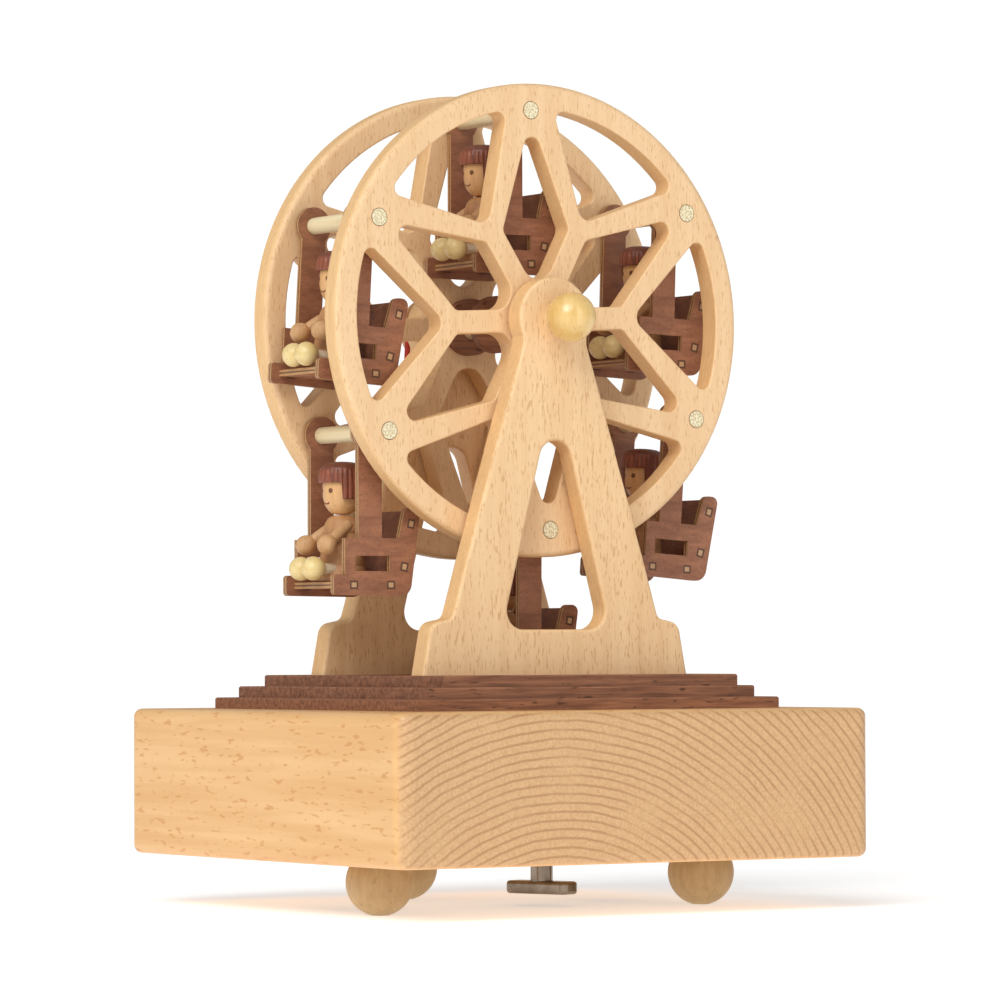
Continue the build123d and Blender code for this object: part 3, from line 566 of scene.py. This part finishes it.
def mouth_mesh():
    pts = []
    for i in range(13):
        q = -1 + i / 6
        a = pi + q * radians(16)
        z = -16.2 - 0.4 * (1 - q * q)
        r = head_r(z) + 0.01
        pts.append((DX + r * cos(a), MID_Y + r * sin(a), z))
    return tube_path(pts, 0.15)


def groove_prof(pts, cuts, depth=0.13, w=0.22):
    out = []
    for (r0, z0), (r1, z1) in zip(pts, pts[1:]):
        out.append((r0, z0))
        for c in cuts:
            if min(z0, z1) < c < max(z0, z1):
                rc = r0 + (r1 - r0) * (c - z0) / (z1 - z0)
                sg = 1 if z1 > z0 else -1
                out += [(rc, c - sg * w), (rc - depth * 0.7, c - sg * w * 0.4), (rc - depth, c), (rc - depth * 0.7, c + sg * w * 0.4), (rc, c + sg * w)]
    out.append(pts[-1])
    return out


TORSO = [(0, -19.25), (1.7, -19.25), (2.6, -19.5), (3.35, -20.05), (3.9, -20.95), (4.3, -22.0), (4.75, -25.5), (5.15, -28.5), (6.02, -34.7), (5.85, -35.05), (0, -35.08)]
torso_mesh = lathe(groove_prof(TORSO, (-23.6, -27.4, -31.2)), n=96)
head_mesh = join(lathe(HEAD, n=96))

arms, hands, legs, shoes = [], [], [], []
for s in (-1, 1):
    a = Vector((DX - 0.6, MID_Y + s * 3.3, -21.9))
    b = Vector((-7.7, MID_Y + s * 5.0, -26.3))
    L = (b - a).length
    arms.append(lathe(arc([(0, -1.3), (0.95, -1.0), (1.38, 0.0), (1.4, L * 0.5), (1.2, L - 2.0), (1.05, L - 1.2)], 5), a, b - a, n=40))
    hands.append(lathe(arc([(0.0, -2.3), (1.1, -2.2), (1.95, -1.4), (2.38, 0.0), (2.05, 1.2), (1.2, 2.1), (0.5, 2.36), (0, 2.33)], 5), b, b - a, n=56))
    c = Vector((DX - 2.0, MID_Y + s * 2.6, -31.9))
    e = Vector((-10.2, MID_Y + s * 2.95, -31.9))
    L = (e - c).length
    legs.append(lathe([(1.3, 1.5), (1.3, L - 4), (1.28, L - 1.5)], c, e - c, n=40))
    shoes.append(lathe(arc([(1.25, -2.55), (1.9, -2.15), (2.55, -1.2), (2.84, 0.0), (2.6, 1.15), (1.85, 2.15), (0.9, 2.68), (0.0, 2.78)], 5), e, e - c, n=64))

PIECES = (("torso", torso_mesh, torso_m, "doll_body"), ("arms", join(*arms), arm_m, None), ("hands", join(*hands), arm_m, None),
          ("legs", join(*legs), leg_m, None), ("shoes", join(*shoes), shoe_m, None), ("head", head_mesh, skin, "doll_head"),
          ("hair", hair_mesh(), hair_m, None), ("eyes", eyes_mesh(), eye_m, None), ("mouth", mouth_mesh(), mouth_m, None))
for k in range(6):
    for nm, (v, f), mat, node in PIECES:
        ob = mesh_object("rider_%d_%s" % (k + 1, nm), v, f, mat, LOCAL[k] @ Matrix.Translation((SIT[k] * S, 0, 0)))
        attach(ob, "gondola_%d" % (k + 1))
        if node:
            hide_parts("gondola_%d_%s" % (k + 1, node))

# ---------------------------------------------------------------- glue line round each dowel end in the wheels
seam = dot_material("glue_line", (146, 98, 60), (116, 76, 46), (0.6, 0.8))
rings = []
for k in range(6):
    a = radians(90 + TURN + 60 * k)
    for y, sg in ((-21.8, -1), (17.8, 1)):
        c = Vector((RD * cos(a), y, AX + RD * sin(a)))
        rings.append(lathe([(2.0, -0.05), (2.0, 0.035), (2.08, 0.05), (2.16, 0.035), (2.17, -0.05)], c, (0, sg, 0), n=48))
ob = mesh_object("dowel_seams", *join(*rings), seam)
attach(ob, "wheel")

# ---------------------------------------------------------------- floor and light
fm = Mat("floor_paper", rough=0.9)
q = fm.noise(fm.p, scale=220, detail=3, rough=0.5)
fm.colour(fm.mix(q, (0.93, 0.93, 0.93, 1), (0.97, 0.97, 0.97, 1)))
fm.b.inputs["Emission Color"].default_value = (1, 1, 1, 1)
fm.b.inputs["Emission Strength"].default_value = 0.43
fm.b.inputs["Specular IOR Level"].default_value = 0.0
floor = mesh_object("floor", [(-9000, -9000, 0), (9000, -9000, 0), (9000, 9000, 0), (-9000, 9000, 0)], [(0, 1, 2, 3)], fm.m, smooth=False)

world = bpy.data.worlds.new("studio")
scene.world = world
world.use_nodes = True
bg = world.node_tree.nodes["Background"]
bg.inputs[0].default_value = (1, 1, 1, 1)
bg.inputs[1].default_value = 0.34
wt = world.node_tree
seen = wt.nodes.new("ShaderNodeBackground")
seen.inputs[0].default_value = (1, 1, 1, 1)
seen.inputs[1].default_value = 1.05
lp = wt.nodes.new("ShaderNodeLightPath")
mx = wt.nodes.new("ShaderNodeMixShader")
wt.links.new(lp.outputs["Is Camera Ray"], mx.inputs[0])
wt.links.new(bg.outputs[0], mx.inputs[1])
wt.links.new(seen.outputs[0], mx.inputs[2])
wt.links.new(mx.outputs[0], wt.nodes["World Output"].inputs[0])


def area(name, loc, target, size, watts, col=(1, 1, 1)):
    l = bpy.data.lights.new(name, "AREA")
    l.shape, l.size, l.energy, l.color = "DISK", size, watts, col
    o = bpy.data.objects.new(name, l)
    scene.collection.objects.link(o)
    o.location = loc
    o.rotation_euler = (Vector(target) - Vector(loc)).to_track_quat("-Z", "Y").to_euler()
    return o


area("key", (-1.35, -0.85, 1.0), (0, 0, 0.1), 0.7, 4.0)
area("front", (0.35, -1.8, 0.7), (0, 0, 0.1), 0.8, 3.0)
sun = bpy.data.lights.new("window", "SUN")
sun.energy, sun.angle = 1.5, radians(38)
so = bpy.data.objects.new("window", sun)
scene.collection.objects.link(so)
so.rotation_euler = Vector((0.60, 0.46, -0.66)).to_track_quat("-Z", "Y").to_euler()
